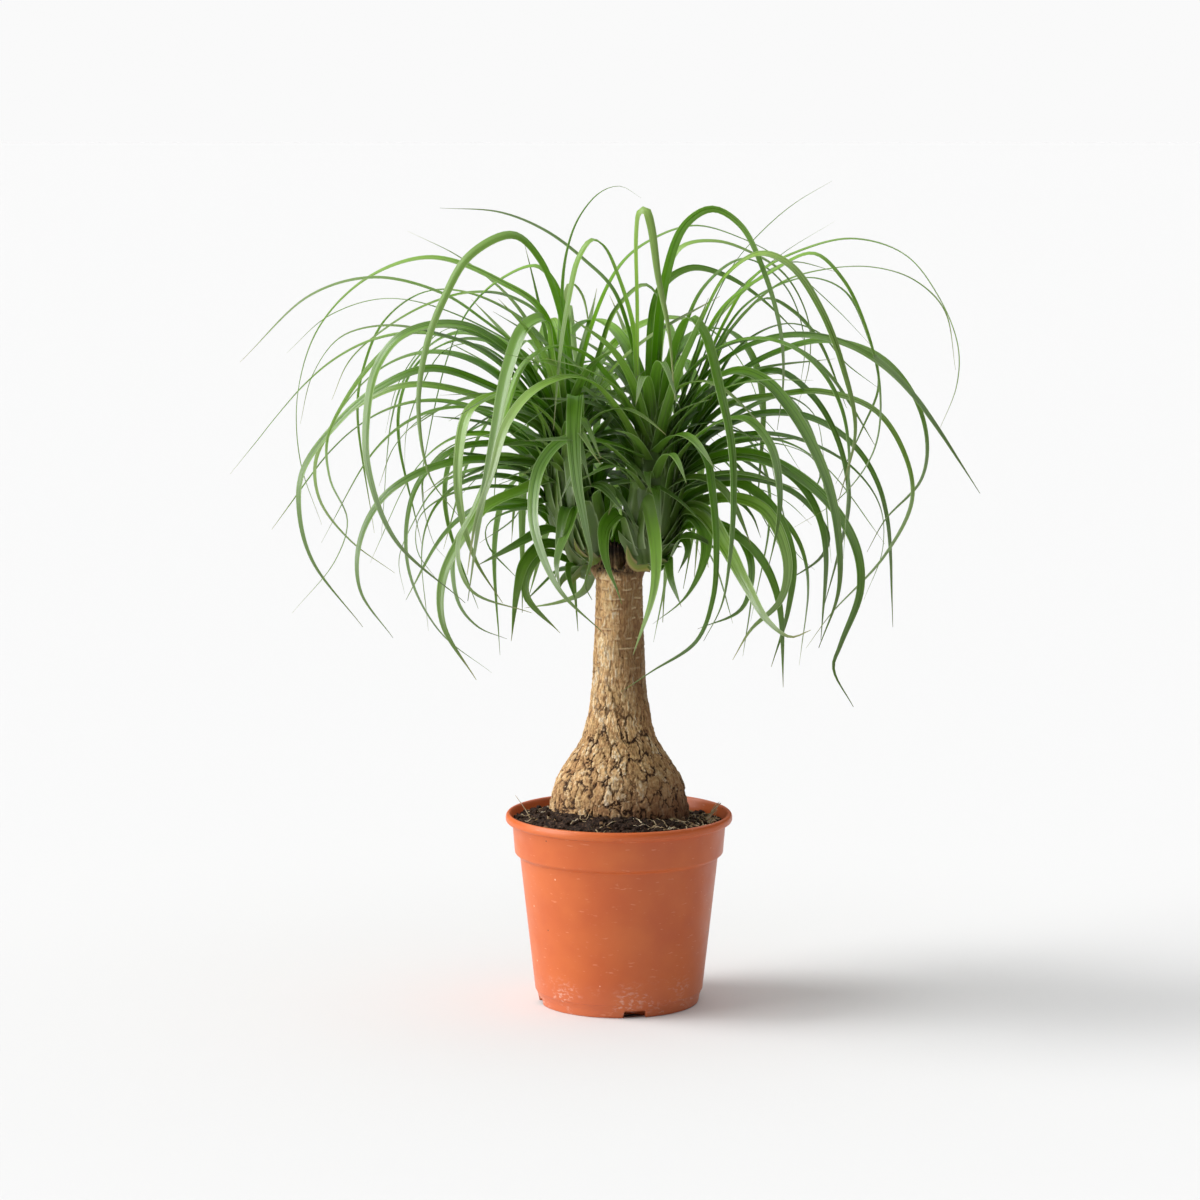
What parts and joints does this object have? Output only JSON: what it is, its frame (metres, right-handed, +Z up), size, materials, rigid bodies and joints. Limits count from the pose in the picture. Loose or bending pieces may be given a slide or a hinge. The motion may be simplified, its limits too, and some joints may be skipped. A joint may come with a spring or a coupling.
{
  "type": "potted ponytail palm",
  "caption": "House plant with a swollen corky trunk and two heads of long arching strap leaves, standing in soil in a tapered plastic nursery pot.",
  "frame": {"origin": "on the pot's axis, at the face it stands on", "axes": "+Z up along the pot and trunk, -Y towards the viewer of the picture, +X to the viewer's right"},
  "size_m": [0.5473, 0.4174, 0.6139],
  "materials": {
    "pot_plastic": "satin",
    "peat_soil": "matte",
    "corky_bark": "matte",
    "leaf_green": "satin"
  },
  "bodies": {
    "root": {"pot": "pot_plastic", "soil": "peat_soil", "trunk": "corky_bark", "head_left": "leaf_green", "head_right": "leaf_green"}
  },
  "joints": []
}
